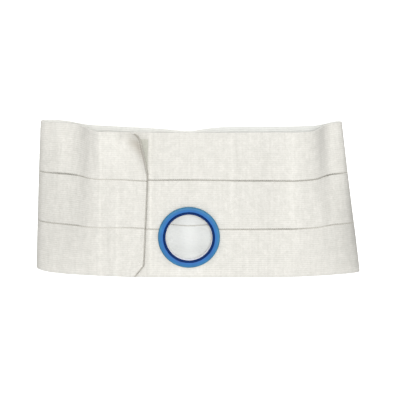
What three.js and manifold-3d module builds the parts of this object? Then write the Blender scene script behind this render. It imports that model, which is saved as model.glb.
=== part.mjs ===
import * as THREE from 'three';
import { mergeVertices } from 'three/addons/utils/BufferGeometryUtils.js';
import Module from 'manifold-3d';

// An ostomy support belt, closed and standing on its lower edge. Three wide elastic bands, sewn edge to
// edge, make one wall that runs once round the waist. Its ends lap at the front, where a hook strip holds
// them, and the outer end is a flap with clipped corners. A two-part ring clamps the edge of the round
// opening that the pouch comes through. The front is at -Y, and +Z is up.

const wasm = await Module();
wasm.setup();

// Sizes of the belt, in millimetres.
const halfWidth = 251.5; // half of the closed loop's width, nose to nose
const loopDepth = 80; // how far the loop's two noses curve back from the front wall
const bandWidth = 76.2;
const seamGap = 0.5; // between one band's edge and the next
const clothThickness = 2;
const fitGap = 0.3; // left between pieces that seat on each other

// The lapped closure.
const overlap = 72; // how far the inner end runs on under the flap
const hookThickness = 1.4;
const hookWidth = 62;
const hookInset = 0.6; // from the flap's free edge
const hookTopInset = 10.5;
const hookBottomInset = 8;
const flapRamp = 70; // the length over which the flap settles onto the wall past the inner end
const flapLean = 8.7; // how far the free edge leans back from the rim to the foot
const lowerClip = { along: 13.5, up: 19, roundness: 1 }; // a straight corner
const upperClip = { along: 18, up: 20, roundness: 2.6 }; // a rounded one
const curlReachAlong = 46; // the flap's upper corner lifts past a crease from here on the top edge
const curlReachDown = 76; // to here on the free edge
const curlRadius = 34; // at the top edge
const curlTightest = 4; // and where the crease meets the free edge
const curlRise = 3.5; // how far the corner stretches upwards

// The pouch ring.
const ringFromFlapEdge = 62.1; // the ring's centre, along the cloth from the flap's free edge
const ringHeight = 64.2; // and above the lower edge
const openingRadius = 36;
const sleeveRadius = 39.5;
const flangeRadius = 48.1;
const flangeHeight = 4.7;
const sleeveProud = 1.2; // how far the inner rim stands in front of the flange
const backLipRadius = 44.5;
const backLipThickness = 2.2;
const ringSides = 64;

// How finely the walls are cut.
const columnsPerStation = 2.75;
const cornerColumns = 12; // across the flap's corner
const lengthSamplesPerStation = 24;

// The bands, from the foot up. rows are where each one is divided, as shares of its width.
const bands = [
  { name: 'band_lower', rows: [0, 0.1, 1] },
  { name: 'band_middle', rows: [0, 0.5, 1] },
  { name: 'band_upper', rows: [0, 0.3, 0.52, 0.68, 0.8, 0.88, 0.94, 1] },
];

const beltHeight = bandWidth * bands.length;
const flapLift = clothThickness + hookThickness + 2 * fitGap;

// The loop seen from above, from the flap's free edge round the left nose, along the back wall and round
// the right nose to the ring. footX and rimX are shares of halfWidth, footY and rimY of loopDepth.
const stations = [
  { name: 'flap edge', footX: -0.291, footY: 0.008, rimX: -0.291, rimY: 0.196 },
  { name: 'flap', footX: -0.445, footY: 0.078, rimX: -0.442, rimY: 0.236 },
  { name: 'inner end', footX: -0.600, footY: 0.150, rimX: -0.595, rimY: 0.280 },
  { name: 'dip begins', footX: -0.686, footY: 0.182, rimX: -0.655, rimY: 0.350 },
  { name: 'dip', footX: -0.750, footY: 0.212, rimX: -0.700, rimY: 0.570 },
  { name: 'dip ends', footX: -0.816, footY: 0.231, rimX: -0.750, rimY: 0.720 },
  { name: 'left lobe', footX: -0.888, footY: 0.300, rimX: -0.826, rimY: 0.795 },
  { name: 'left shoulder', footX: -0.955, footY: 0.405, rimX: -0.908, rimY: 0.830 },
  { name: 'left nose front', footX: -0.999, footY: 0.550, rimX: -0.962, rimY: 0.880 },
  { name: 'left nose', footX: -1.014, footY: 0.700, rimX: -0.982, rimY: 0.965 },
  { name: 'left nose back', footX: -0.985, footY: 0.825, rimX: -0.956, rimY: 1.045 },
  { name: 'left back', footX: -0.916, footY: 0.885, rimX: -0.894, rimY: 1.050 },
  { name: 'left back lobe', footX: -0.820, footY: 0.845, rimX: -0.824, rimY: 0.995 },
  { name: 'left back neck', footX: -0.718, footY: 0.765, rimX: -0.758, rimY: 0.890 },
  { name: 'left back step', footX: -0.600, footY: 0.680, rimX: -0.690, rimY: 0.735 },
  { name: 'left back wall', footX: -0.470, footY: 0.600, rimX: -0.590, rimY: 0.680 },
  { name: 'back wall', footX: -0.340, footY: 0.525, rimX: -0.450, rimY: 0.540 },
  { name: 'before the pinch', footX: -0.208, footY: 0.450, rimX: -0.296, rimY: 0.465 },
  { name: 'pinch begins', footX: -0.120, footY: 0.388, rimX: -0.178, rimY: 0.365 },
  { name: 'pinch', footX: -0.060, footY: 0.350, rimX: -0.064, rimY: 0.184 },
  { name: 'pinch ends', footX: 0.020, footY: 0.375, rimX: 0.036, rimY: 0.365 },
  { name: 'past the pinch', footX: 0.140, footY: 0.425, rimX: 0.140, rimY: 0.475 },
  { name: 'middle of the back', footX: 0.300, footY: 0.450, rimX: 0.300, rimY: 0.530 },
  { name: 'right back wall', footX: 0.480, footY: 0.462, rimX: 0.480, rimY: 0.540 },
  { name: 'right back step', footX: 0.640, footY: 0.487, rimX: 0.620, rimY: 0.575 },
  { name: 'right back neck', footX: 0.780, footY: 0.537, rimX: 0.712, rimY: 0.650 },
  { name: 'right back lobe', footX: 0.880, footY: 0.575, rimX: 0.776, rimY: 0.820 },
  { name: 'right back', footX: 0.950, footY: 0.575, rimX: 0.832, rimY: 0.955 },
  { name: 'right nose back', footX: 0.986, footY: 0.512, rimX: 0.868, rimY: 1.000 },
  { name: 'right nose', footX: 1.001, footY: 0.415, rimX: 0.890, rimY: 0.950 },
  { name: 'right nose front', footX: 0.976, footY: 0.318, rimX: 0.872, rimY: 0.875 },
  { name: 'right shoulder', footX: 0.916, footY: 0.250, rimX: 0.836, rimY: 0.825 },
  { name: 'right lobe', footX: 0.850, footY: 0.188, rimX: 0.795, rimY: 0.775 },
  { name: 'right dip ends', footX: 0.800, footY: 0.150, rimX: 0.759, rimY: 0.595 },
  { name: 'right dip', footX: 0.748, footY: 0.112, rimX: 0.724, rimY: 0.320 },
  { name: 'right dip begins', footX: 0.680, footY: 0.075, rimX: 0.676, rimY: 0.230 },
  { name: 'right front', footX: 0.568, footY: 0.018, rimX: 0.566, rimY: 0.196 },
  { name: 'right front middle', footX: 0.440, footY: 0.018, rimX: 0.440, rimY: 0.208 },
  { name: 'right of the panel', footX: 0.320, footY: 0.006, rimX: 0.320, rimY: 0.194 },
  { name: 'panel ends', footX: 0.224, footY: 0.000, rimX: 0.224, rimY: 0.188 },
  { name: 'right of the ring', footX: 0.144, footY: 0.000, rimX: 0.144, rimY: 0.188 },
  { name: 'ring', footX: -0.056, footY: 0.000, rimX: -0.056, rimY: 0.188 },
  { name: 'left of the ring', footX: -0.240, footY: 0.000, rimX: -0.240, rimY: 0.188 },
];

// A closed uniform cubic B-spline through the stations: smooth curvature, and straight where four
// stations in a row are in line.
function splineAt(u, xColumn, yColumn) {
  const first = Math.floor(u);
  const t = u - first;
  const weights = [
    (1 - t) ** 3 / 6,
    (3 * t ** 3 - 6 * t ** 2 + 4) / 6,
    (-3 * t ** 3 + 3 * t ** 2 + 3 * t + 1) / 6,
    t ** 3 / 6,
  ];
  const point = new THREE.Vector2();
  weights.forEach((weight, k) => {
    const station = stations[(((first + k - 1) % stations.length) + stations.length) % stations.length];
    point.x += weight * station[xColumn] * halfWidth;
    point.y += weight * station[yColumn] * loopDepth;
  });
  return point;
}

// The middle of the cloth: a straight thread from the foot curve up to the rim curve.
function wallPoint(u, height) {
  const up = height / beltHeight;
  const foot = splineAt(u, 'footX', 'footY');
  const rim = splineAt(u, 'rimX', 'rimY');
  return new THREE.Vector3(foot.x + (rim.x - foot.x) * up, foot.y + (rim.y - foot.y) * up, height);
}

// Distances along the cloth, measured at half height.
const lengthTable = [0];
for (let k = 1; k <= stations.length * lengthSamplesPerStation; k++) {
  const before = wallPoint((k - 1) / lengthSamplesPerStation, beltHeight / 2);
  const here = wallPoint(k / lengthSamplesPerStation, beltHeight / 2);
  lengthTable.push(lengthTable[k - 1] + before.distanceTo(here));
}
const loopLength = lengthTable[lengthTable.length - 1];

function stationAt(distance) {
  const turns = Math.floor(distance / loopLength);
  const rest = distance - turns * loopLength;
  const k = Math.max(1, lengthTable.findIndex((length) => length >= rest));
  const share = (rest - lengthTable[k - 1]) / (lengthTable[k] - lengthTable[k - 1]);
  return turns * stations.length + (k - 1 + share) / lengthSamplesPerStation;
}

function distanceAt(u) {
  const turns = Math.floor(u / stations.length);
  const place = (u - turns * stations.length) * lengthSamplesPerStation;
  const k = Math.min(Math.floor(place), lengthTable.length - 2);
  return turns * loopLength + lengthTable[k] + (place - k) * (lengthTable[k + 1] - lengthTable[k]);
}

// The level direction away from the wearer. Faces are set off along it, so the edges of the belt stay flat.
function outwardAt(distance, height) {
  const step = 0.5;
  const before = wallPoint(stationAt(distance - step), height);
  const along = wallPoint(stationAt(distance + step), height).sub(before);
  return new THREE.Vector3(-along.y, along.x, 0).normalize();
}

function smoothStep(from, to, value) {
  const t = Math.min(1, Math.max(0, (value - from) / (to - from)));
  return t * t * (3 - 2 * t);
}

// How far the flap lies outside the wall: clear of the inner end and hook strip, then down onto the wall.
function flapOffset(distance) {
  const rampBegins = overlap + clothThickness;
  return flapLift * (1 - smoothStep(rampBegins, rampBegins + flapRamp, distance));
}

// A point of the belt, with distance counted from the flap's free edge and offset outwards from the wall.
function clothPoint(distance, height, offset) {
  const point = wallPoint(stationAt(distance), height);
  return point.addScaledVector(outwardAt(distance, height), offset);
}

// The flap's upper corner curls outwards like a page, over a crease that runs from the top edge down to
// the free edge.
function curledPoint(distance, height, offset) {
  const share = Math.max(0, 1 - (beltHeight - height) / curlReachDown);
  const pastCrease = curlReachAlong * share - distance;
  if (pastCrease <= 0) {
    return clothPoint(distance, height, flapOffset(distance) + offset);
  }
  const radius = curlTightest + (curlRadius - curlTightest) * share;
  const angle = pastCrease / radius;
  const shortening = pastCrease - (radius - offset) * Math.sin(angle);
  const lift = radius - (radius - offset) * Math.cos(angle);
  const rise = curlRise * (pastCrease / curlReachAlong) ** 2;
  return clothPoint(distance + shortening, height + rise, flapOffset(distance) + lift);
}

// A closed solid from an outer and an inner grid of points, each grid[column][row].
function slab(outer, inner) {
  const columns = outer.length;
  const rows = outer[0].length;
  const points = [...outer.flat(), ...inner.flat()];
  const outerAt = (i, j) => i * rows + j;
  const innerAt = (i, j) => columns * rows + i * rows + j;
  const triangles = [];
  const quad = (a, b, c, d) => triangles.push(a, b, c, a, c, d);
  for (let i = 0; i + 1 < columns; i++) {
    for (let j = 0; j + 1 < rows; j++) {
      quad(outerAt(i, j), outerAt(i, j + 1), outerAt(i + 1, j + 1), outerAt(i + 1, j));
      quad(innerAt(i, j), innerAt(i + 1, j), innerAt(i + 1, j + 1), innerAt(i, j + 1));
    }
    quad(outerAt(i, 0), outerAt(i + 1, 0), innerAt(i + 1, 0), innerAt(i, 0));
    quad(outerAt(i, rows - 1), innerAt(i, rows - 1), innerAt(i + 1, rows - 1), outerAt(i + 1, rows - 1));
  }
  const last = columns - 1;
  for (let j = 0; j + 1 < rows; j++) {
    quad(outerAt(0, j), innerAt(0, j), innerAt(0, j + 1), outerAt(0, j + 1));
    quad(outerAt(last, j), outerAt(last, j + 1), innerAt(last, j + 1), innerAt(last, j));
  }
  const geometry = new THREE.BufferGeometry();
  geometry.setFromPoints(points);
  geometry.setIndex(triangles);
  return geometry;
}

// Where the flap begins at this height, with its lean and its clipped corners.
function freeEdgeAt(height) {
  const lean = flapLean * (1 - height / beltHeight);
  const below = Math.max(0, 1 - height / lowerClip.up);
  const above = Math.max(0, 1 - (beltHeight - height) / upperClip.up);
  const lowerCut = lowerClip.along * below ** lowerClip.roundness;
  const upperCut = upperClip.along * above ** upperClip.roundness;
  return lean + lowerCut + upperCut;
}

// The distances of a band's columns: close together over the flap's corner, then evenly by station.
function columnDistances() {
  const distances = [];
  for (let k = 0; k < cornerColumns; k++) {
    distances.push((curlReachAlong * k) / cornerColumns);
  }
  const firstStation = stationAt(curlReachAlong);
  const lastStation = stationAt(loopLength + overlap);
  const columns = Math.ceil((lastStation - firstStation) * columnsPerStation);
  for (let k = 0; k <= columns; k++) {
    distances.push(distanceAt(firstStation + ((lastStation - firstStation) * k) / columns));
  }
  return distances;
}

// The heights of a band's rows, with one where the lower clip begins.
function rowHeights(low, high, rows) {
  const heights = rows.map((share) => low + (high - low) * share);
  if (lowerClip.up > low && lowerClip.up < high) {
    heights.push(lowerClip.up);
  }
  return heights.sort((a, b) => a - b);
}

function bandGeometry(index) {
  const low = index * bandWidth + (index > 0 ? seamGap / 2 : 0);
  const high = (index + 1) * bandWidth - (index + 1 < bands.length ? seamGap / 2 : 0);
  const heights = rowHeights(low, high, bands[index].rows);
  const face = (side) => columnDistances().map((distance) => heights.map((height) => {
    const start = freeEdgeAt(height) * Math.max(0, 1 - distance / curlReachAlong);
    return curledPoint(distance + start, height, side);
  }));
  return slab(face(clothThickness / 2), face(-clothThickness / 2));
}

function hookStripGeometry() {
  const near = clothThickness / 2 + fitGap;
  const top = beltHeight - hookTopInset;
  const columns = 6;
  const heights = [hookBottomInset, lowerClip.up, beltHeight / 2, top];
  const faces = [near + hookThickness, near].map((offset) => {
    const grid = [];
    for (let i = 0; i <= columns; i++) {
      grid.push(heights.map((height) => {
        const lean = flapLean * (1 - height / beltHeight);
        const start = Math.max(lean, height < beltHeight / 2 ? freeEdgeAt(height) : 0) + hookInset;
        return clothPoint(start + ((hookWidth - start) * i) / columns, height, offset);
      }));
    }
    return grid;
  });
  return slab(faces[0], faces[1]);
}

// The ring's place: its centre on the middle of the cloth, and the way that the ring faces.
const ringDistance = loopLength - ringFromFlapEdge;
const ringCentre = clothPoint(ringDistance, ringHeight, 0);
const ringUp = clothPoint(ringDistance, ringHeight + 1, 0).sub(ringCentre);
const ringAlong = clothPoint(ringDistance + 1, ringHeight, 0).sub(ringCentre);
const ringOutward = ringUp.cross(ringAlong).normalize();
const ringTurn = new THREE.Quaternion().setFromUnitVectors(new THREE.Vector3(0, 1, 0), ringOutward);

function turnedAboutRing(profile) {
  const closed = [...profile, profile[0]].map(([radius, out]) => new THREE.Vector2(radius, out));
  return new THREE.LatheGeometry(closed, ringSides);
}

// The front flange: a rounded rim with a flat face that the pouch's flange seats on.
function flangeGeometry() {
  const back = clothThickness / 2 + fitGap;
  const front = back + flangeHeight;
  const bore = sleeveRadius + fitGap;
  return turnedAboutRing([
    [bore, back],
    [flangeRadius - 0.8, back],
    [flangeRadius, back + 0.9],
    [flangeRadius, back + 1.9],
    [flangeRadius - 0.8, front - 1.3],
    [flangeRadius - 2.6, front],
    [bore + 2.2, front],
    [bore + 0.6, front - 0.6],
    [bore, front - 1.4],
  ]);
}

// The sleeve through the opening: a funnelled inner rim in front, and a plain lip behind the cloth.
function sleeveGeometry() {
  const lipFront = -(clothThickness / 2 + fitGap);
  const lipBack = lipFront - backLipThickness;
  const rimFront = clothThickness / 2 + fitGap + flangeHeight + sleeveProud;
  return turnedAboutRing([
    [openingRadius, lipBack],
    [backLipRadius - 0.5, lipBack],
    [backLipRadius, lipBack + 0.5],
    [backLipRadius, lipFront - 0.5],
    [backLipRadius - 0.5, lipFront],
    [sleeveRadius, lipFront],
    [sleeveRadius, rimFront - 0.8],
    [sleeveRadius - 0.8, rimFront],
    [openingRadius + 1.6, rimFront - 0.2],
    [openingRadius + 0.4, rimFront - 1.8],
    [openingRadius, rimFront - 3.6],
  ]);
}

function toSolid(geometry) {
  const bare = geometry.clone();
  bare.deleteAttribute('normal');
  bare.deleteAttribute('uv');
  const merged = mergeVertices(bare, 1e-4);
  return new wasm.Manifold(new wasm.Mesh({
    numProp: 3,
    vertProperties: new Float32Array(merged.attributes.position.array),
    triVerts: new Uint32Array(merged.index.array),
  }));
}

function fromSolid(solid) {
  const mesh = solid.getMesh();
  const geometry = new THREE.BufferGeometry();
  geometry.setAttribute('position', new THREE.Float32BufferAttribute(mesh.vertProperties, 3));
  geometry.setIndex([...mesh.triVerts]);
  return geometry;
}

// The round opening, cut through the front wall only.
function openingCutter() {
  const reach = 4 * clothThickness;
  const cutter = new THREE.CylinderGeometry(sleeveRadius + fitGap, sleeveRadius + fitGap, reach, ringSides);
  cutter.applyQuaternion(ringTurn);
  cutter.translate(ringCentre.x, ringCentre.y, ringCentre.z);
  return toSolid(cutter);
}

const belt = new THREE.Group();

function addMesh(name, geometry, material) {
  geometry.computeVertexNormals();
  const mesh = new THREE.Mesh(geometry, material);
  mesh.name = name;
  belt.add(mesh);
  return mesh;
}

function elastic() {
  return new THREE.MeshStandardMaterial({ color: 0xebe9e1, roughness: 0.9, metalness: 0 });
}

bands.forEach((band, index) => {
  const whole = toSolid(bandGeometry(index));
  addMesh(band.name, fromSolid(whole.subtract(openingCutter())), elastic());
});

const hookTape = new THREE.MeshStandardMaterial({ color: 0xc9c8c1, roughness: 1 });
addMesh('hook_strip', hookStripGeometry(), hookTape);

const ringParts = [
  ['ring_flange', flangeGeometry(), 0x4b82bc],
  ['ring_sleeve', sleeveGeometry(), 0x0e306e],
];
for (const [name, geometry, color] of ringParts) {
  const part = addMesh(name, geometry, new THREE.MeshStandardMaterial({ color, roughness: 0.35 }));
  part.quaternion.copy(ringTurn);
  part.position.copy(ringCentre);
}

// The origin is under the middle of the belt, on the surface that it stands on.
const bounds = new THREE.Box3().setFromObject(belt, true);
const middle = bounds.getCenter(new THREE.Vector3());
belt.position.set(-middle.x, -middle.y, -bounds.min.z);

export default belt;
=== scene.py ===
import math
import bpy
import numpy as np
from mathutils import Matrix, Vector


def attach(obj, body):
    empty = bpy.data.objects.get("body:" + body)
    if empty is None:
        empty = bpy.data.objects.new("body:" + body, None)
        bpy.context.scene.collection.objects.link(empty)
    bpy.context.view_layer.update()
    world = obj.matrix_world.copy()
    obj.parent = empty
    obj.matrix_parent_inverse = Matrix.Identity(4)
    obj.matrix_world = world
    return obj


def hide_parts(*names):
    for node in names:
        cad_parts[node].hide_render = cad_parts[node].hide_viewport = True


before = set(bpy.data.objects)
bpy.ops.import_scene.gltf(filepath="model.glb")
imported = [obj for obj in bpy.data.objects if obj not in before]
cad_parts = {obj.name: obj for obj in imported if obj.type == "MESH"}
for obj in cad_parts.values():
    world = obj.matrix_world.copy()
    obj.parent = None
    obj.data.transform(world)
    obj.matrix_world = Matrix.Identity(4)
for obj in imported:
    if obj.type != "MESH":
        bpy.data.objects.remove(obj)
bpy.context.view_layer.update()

# A wide elastic support belt for the waist, closed and standing on its lower edge: three bands sewn edge to
# edge, a lapped flap at the front with a hook strip under it, and a two-part ring round the opening.
# Everything below is in millimetres until metres() turns it into the frame's unit.


def metres(points):
    # belt millimetres to frame metres: add the shift that centres the loop, then divide by 1000
    return (np.asarray(points, float) + np.array(belt["shift"])) / 1000


# the camera, which looks a little down on the belt from far off
camera = dict(aim=(3.3, -6.0, 115.7), elevation=16.0, distance=5000.0, widthAtAim=622.4, sensor=36)


def makeCamera():
    tilt = math.radians(camera["elevation"])
    data = bpy.data.cameras.new("camera")
    data.sensor_width = camera["sensor"]
    data.lens = camera["sensor"] * camera["distance"] / camera["widthAtAim"]
    data.clip_end = 100
    made = bpy.data.objects.new("camera", data)
    aim = np.array(camera["aim"])
    made.location = (aim + camera["distance"] * np.array([0, -math.cos(tilt), math.sin(tilt)])) / 1000
    made.rotation_euler = (math.pi / 2 - tilt, 0, 0)
    bpy.context.collection.objects.link(made)
    bpy.context.scene.camera = made


makeCamera()
print("camera set")

# the loop that every soft piece follows
belt = dict(
    halfWidth=251.5, loopDepth=80.0, bandWidth=76.2, bandCount=3, thickness=2.0,
    overlap=72.0,                       # how far the inner end runs on under the flap
    flapLift=4.0, flapRamp=70.0, flapLean=8.7, leanBend=1.4,
    lowerClip=(13.5, 19.0, 1.0), upperClip=(22.0, 17.0, 2.4),       # along, up, roundness
    curlAlong=46.0, curlDown=76.0, curlRadius=34.0, curlTightest=4.0, curlRise=6.0,
    stretchFrom=100.0,                  # the cloth stands taller only above this height
    ringFromFlapEdge=62.1, ringHeight=64.2,
    shift=(1.587, -38.308, 0.0),
)
beltHeight = belt["bandWidth"] * belt["bandCount"]

# foot x, foot y, rim x, rim y: x as a share of halfWidth, y of loopDepth, from the flap's free edge round
# the left nose, along the back wall and round the right nose to the ring
stations = np.array([
    (-0.291, 0.008, -0.291, 0.196), (-0.445, 0.078, -0.442, 0.236), (-0.600, 0.150, -0.595, 0.280),
    (-0.686, 0.182, -0.655, 0.350), (-0.750, 0.212, -0.700, 0.570), (-0.816, 0.231, -0.750, 0.720),
    (-0.888, 0.300, -0.826, 0.795), (-0.955, 0.405, -0.908, 0.830), (-0.999, 0.550, -0.962, 0.880),
    (-1.014, 0.700, -0.982, 0.965), (-0.985, 0.825, -0.956, 1.045), (-0.916, 0.885, -0.894, 1.050),
    (-0.820, 0.845, -0.824, 0.995), (-0.718, 0.765, -0.758, 0.890), (-0.600, 0.680, -0.690, 0.735),
    (-0.470, 0.600, -0.590, 0.680), (-0.340, 0.525, -0.450, 0.540), (-0.208, 0.450, -0.296, 0.465),
    (-0.120, 0.388, -0.178, 0.365), (-0.060, 0.350, -0.064, 0.184), (0.020, 0.375, 0.036, 0.365),
    (0.140, 0.425, 0.140, 0.475), (0.300, 0.450, 0.300, 0.530), (0.480, 0.462, 0.480, 0.540),
    (0.640, 0.487, 0.620, 0.575), (0.780, 0.537, 0.712, 0.650), (0.880, 0.575, 0.776, 0.820),
    (0.950, 0.575, 0.832, 0.955), (0.986, 0.512, 0.868, 1.000), (1.001, 0.415, 0.890, 0.950),
    (0.976, 0.318, 0.872, 0.875), (0.916, 0.250, 0.836, 0.825), (0.850, 0.188, 0.795, 0.775),
    (0.800, 0.150, 0.759, 0.595), (0.748, 0.112, 0.724, 0.320), (0.680, 0.075, 0.676, 0.230),
    (0.568, 0.018, 0.566, 0.196), (0.440, 0.018, 0.440, 0.208), (0.320, 0.006, 0.320, 0.194),
    (0.224, 0.000, 0.224, 0.188), (0.144, 0.000, 0.144, 0.188), (-0.056, 0.000, -0.056, 0.188),
    (-0.240, 0.000, -0.240, 0.188),
]) * [belt["halfWidth"], belt["loopDepth"], belt["halfWidth"], belt["loopDepth"]]


def splineAt(place):
    # closed uniform cubic B-spline: four neighbouring stations, weighted (1-t)^3/6, (3t^3-6t^2+4)/6,
    # (-3t^3+3t^2+3t+1)/6 and t^3/6, with t the part of the place after its whole number
    first = np.floor(place).astype(int)
    t = (place - first)[..., None]
    weights = [(1 - t) ** 3 / 6, (3 * t ** 3 - 6 * t ** 2 + 4) / 6,
               (-3 * t ** 3 + 3 * t ** 2 + 3 * t + 1) / 6, t ** 3 / 6]
    return sum(weight * stations[(first + k - 1) % len(stations)] for k, weight in enumerate(weights))


def wallPoint(place, height):
    # a straight thread from the foot curve to the rim curve: foot + (rim - foot) * height / beltHeight
    ends = splineAt(place)
    up = (height / beltHeight)[..., None]
    level = ends[..., :2] * (1 - up) + ends[..., 2:] * up
    return np.concatenate([level, height[..., None]], -1)


samplesPerStation = 24
samplePlaces = np.arange(len(stations) * samplesPerStation + 1) / samplesPerStation
samplePoints = wallPoint(samplePlaces, np.full(len(samplePlaces), beltHeight / 2))
sampleLengths = np.concatenate([[0], np.cumsum(np.linalg.norm(np.diff(samplePoints, axis=0), axis=1))])
loopLength = sampleLengths[-1]


def placeAt(distance):
    # distance along the cloth at half height, to a place among the stations
    turns = np.floor(distance / loopLength)
    return turns * len(stations) + np.interp(distance - turns * loopLength, sampleLengths, samplePlaces)


def outwardAt(distance, height):
    # level normal of the wall: its run along the cloth, (x, y), turned to (-y, x)
    run = wallPoint(placeAt(distance + 0.5), height) - wallPoint(placeAt(distance - 0.5), height)
    normal = np.stack([-run[..., 1], run[..., 0], np.zeros_like(height)], -1)
    return normal / np.linalg.norm(normal, axis=-1, keepdims=True)


def clothPoint(distance, height, offset):
    # wall + outward normal * offset
    return wallPoint(placeAt(distance), height) + outwardAt(distance, height) * offset[..., None]


def smoothStep(low, high, value):
    # 0 below low, 1 above high, and 3t^2 - 2t^3 between them
    t = np.clip((value - low) / (high - low), 0, 1)
    return t * t * (3 - 2 * t)


def bumps(table, distance, height):
    # sum of amount * exp(-(distance / along)^2 - (height / up)^2), each from its own middle
    total = np.zeros(np.broadcast(distance, height).shape)
    for atDistance, atHeight, along, up, amount in table:
        total += amount * np.exp(-((distance - atDistance) / along) ** 2 - ((height - atHeight) / up) ** 2)
    return total


def flapOffset(distance):
    # the flap lies flapLift outside the wall, and comes down onto it over flapRamp past the inner end
    begins = belt["overlap"] + belt["thickness"]
    return belt["flapLift"] * (1 - smoothStep(begins, begins + belt["flapRamp"], distance))


def leanAt(height):
    # the flap's edge leans back towards the foot: flapLean * (1 - height / beltHeight) ^ leanBend
    return belt["flapLean"] * np.maximum(0, 1 - height / beltHeight) ** belt["leanBend"]


def freeEdgeAt(height):
    # the flap's free edge: its lean plus two clipped corners, along * (1 - reach / up) ^ roundness each
    below = np.maximum(0, 1 - height / belt["lowerClip"][1])
    above = np.maximum(0, 1 - (beltHeight - height) / belt["upperClip"][1])
    return (leanAt(height) + belt["lowerClip"][0] * below ** belt["lowerClip"][2]
            + belt["upperClip"][0] * above ** belt["upperClip"][2])


def alongFlap(fromEdge, height):
    # distance of a point so many mm in from the flap's free edge; the edge's lean fades out over the curl
    return fromEdge + freeEdgeAt(height) * np.maximum(0, 1 - fromEdge / belt["curlAlong"])


# how much taller the cloth stands round the noses and the back than at the front: distance, mm
standsTaller = np.array([
    (80, 0.0), (112, 2.6), (146, 3.1), (198, 3.4), (240, 2.9), (262, 2.0), (285, 1.7), (317, 2.0), (354, 2.5),
    (405, 2.2), (436, 2.2), (454, 3.4), (475, 3.5), (512, 3.6), (531, 3.4), (559, 3.0), (621, 2.4),
    (645, 1.2), (657, 1.5), (680, 2.2), (735, 1.8), (765, 0.0),
])

# where a seam runs higher, fitted to the photo: distance, height, reach along, reach up, rise, in mm
seamRise = [
    (45.0, 2 * belt["bandWidth"], 45.0, 26.0, 1.9), (965.0, 2 * belt["bandWidth"], 90.0, 26.0, 1.9),
    (25.0, belt["bandWidth"], 40.0, 26.0, 2.4),
]


def stretchedUp(distance, height):
    # the table's rise * (height - stretchFrom) / (beltHeight - stretchFrom), plus the seams' own
    rise = np.interp(distance, standsTaller[:, 0], standsTaller[:, 1])
    share = np.clip((height - belt["stretchFrom"]) / (beltHeight - belt["stretchFrom"]), 0, 1)
    return rise * share + bumps(seamRise, distance, height)


def beltPoint(distance, height, offset):
    # past a crease that runs from the top edge down to the free edge, the cloth rolls onto a cone:
    # along = past - (radius - offset) * sin(angle), lift = radius - (radius - offset) * cos(angle)
    share = np.maximum(0, 1 - (beltHeight - height) / belt["curlDown"])
    past = np.maximum(0, belt["curlAlong"] * share - distance)
    radius = belt["curlTightest"] + (belt["curlRadius"] - belt["curlTightest"]) * share
    angle = past / radius
    along = np.where(past > 0, past - (radius - offset) * np.sin(angle), 0)
    lift = np.where(past > 0, radius - (radius - offset) * np.cos(angle), offset)
    rise = belt["curlRise"] * (past / belt["curlAlong"]) ** 2 + stretchedUp(distance, height)
    return clothPoint(distance + along, height + rise, flapOffset(distance) + lift)


print("loop worked out,", round(float(loopLength)), "mm round")


def buildMesh(name, points, faces, uv=None, attributes=None):
    # one object at the origin from whole arrays: points in belt millimetres, faces all with the same number
    # of corners, uv in metres of cloth, and a value for each point under each attribute's name
    mesh = bpy.data.meshes.new(name)
    mesh.from_pydata([], [], [])
    mesh.vertices.add(len(points))
    mesh.vertices.foreach_set("co", metres(points).astype(np.float32).ravel())
    corners = faces.shape[1]
    mesh.loops.add(faces.size)
    mesh.loops.foreach_set("vertex_index", faces.astype(np.int32).ravel())
    mesh.polygons.add(len(faces))
    mesh.polygons.foreach_set("loop_start", np.arange(0, faces.size, corners, dtype=np.int32))
    mesh.update(calc_edges=True)
    if uv is not None:
        layer = mesh.uv_layers.new(name="cloth")
        layer.data.foreach_set("uv", uv[faces.ravel()].astype(np.float32).ravel())
    for label, values in (attributes or {}).items():
        mesh.attributes.new(label, "FLOAT", "POINT").data.foreach_set("value", values.astype(np.float32))
    mesh.shade_smooth()
    mesh.validate()
    made = bpy.data.objects.new(name, mesh)
    bpy.context.collection.objects.link(made)
    return made


def closedSheet(outer, inner, keep):
    # two grids of points, one face each, joined along every edge where a kept cell meets no kept cell
    columns, rows = outer.shape[:2]
    index = np.arange(columns * rows).reshape(columns, rows)
    below = columns * rows
    a, b, c, d = index[:-1, :-1], index[:-1, 1:], index[1:, 1:], index[1:, :-1]
    faces = [np.stack([a, b, c, d], -1)[keep], np.stack([a, d, c, b], -1)[keep] + below]
    padded = np.pad(keep, 1)
    sides = [(a, d, padded[1:-1, :-2]), (c, b, padded[1:-1, 2:]),
             (b, a, padded[:-2, 1:-1]), (d, c, padded[2:, 1:-1])]
    for start, end, neighbour in sides:
        bare = keep & ~neighbour
        s, e = start[bare], end[bare]
        faces.append(np.stack([s, e, e + below, s + below], -1))
    points = np.concatenate([outer.reshape(-1, 3), inner.reshape(-1, 3)])
    return points, np.concatenate(faces)


def dropUnused(points, faces, *columns):
    # leaves out the points that no face uses, and the same rows of each column
    used = np.zeros(len(points), bool)
    used[faces.ravel()] = True
    renumber = np.cumsum(used) - 1
    return (points[used], renumber[faces], *[column[used] for column in columns])


# the three bands
band = dict(
    fineStep=1.0, coarseStep=1.8, fineReach=56.0, rowStep=2.2,
    edgeCuts=np.array([0, 0.15, 0.4, 0.75, 1.2]),       # where each edge is cut finely, in from the edge
    roundedOver=1.1, thinnest=0.12,     # the selvage rounds off over this width, to this half thickness
    seamGap=(0.30, 2.35),               # between two bands, where the seam is shut and where it is open
    holeRadius=41.6,                    # hidden between the ring's flange and its back lip
    ringReach=60.0,                     # only cloth this near along the belt is tested against the ring
)

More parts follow.
